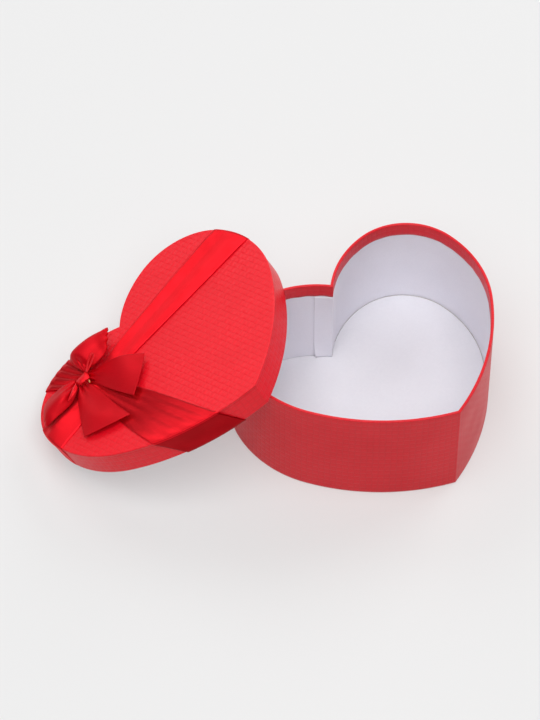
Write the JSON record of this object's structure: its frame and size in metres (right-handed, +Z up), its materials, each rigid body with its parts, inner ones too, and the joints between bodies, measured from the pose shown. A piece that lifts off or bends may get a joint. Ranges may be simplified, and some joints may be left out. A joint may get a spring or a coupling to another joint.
{
  "type": "heart gift box",
  "caption": "Heart-shaped rigid paper gift box, its loose lid with ribbon bands and bow leaning against the open base.",
  "frame": {"origin": "on the underside of the base, on the heart's axis, level with the centres of the two lobes", "axes": "+Z up, +X to the heart's right lobe, the heart's point towards -Y"},
  "size_m": [0.3523, 0.2946, 0.1208],
  "materials": {
    "embossed_red_paper": "embossed basket weave, soft satin sheen",
    "red_rim_paper": "embossed, turned over the rim",
    "greyboard": "matt grey board",
    "white_lining": "smooth matt white",
    "white_card": "smooth white faced card",
    "red_satin": "woven satin ribbon",
    "gold_wire": "thin gold wire"
  },
  "bodies": {
    "base": {"base_wall_board": "greyboard", "base_bottom_board": "greyboard", "base_wall_liner": "white_lining", "base_floor_card": "white_card", "base_underside_sheet": "white_lining", "base_wrap_paper": "red_rim_paper", "base_cleft_tape": "white_lining"},
    "lid": {"lid_wall_board": "greyboard", "lid_top_board": "greyboard", "lid_top_paper": "embossed_red_paper", "lid_side_paper": "embossed_red_paper", "lid_wall_liner": "white_lining", "lid_ceiling_sheet": "white_lining", "lid_cleft_tape": "white_lining", "ribbon_band_long": "red_satin", "ribbon_band_cross": "red_satin", "bow_loops": "red_satin", "bow_tails": "red_satin", "bow_knot_wrap": "red_satin", "bow_twist_tie": "gold_wire"}
  },
  "joints": [
    {"name": "lid_lift", "type": "slide", "parent": "base", "child": "lid", "axis": [0, 0, 1], "range_m": [0, 0.15]}
  ]
}
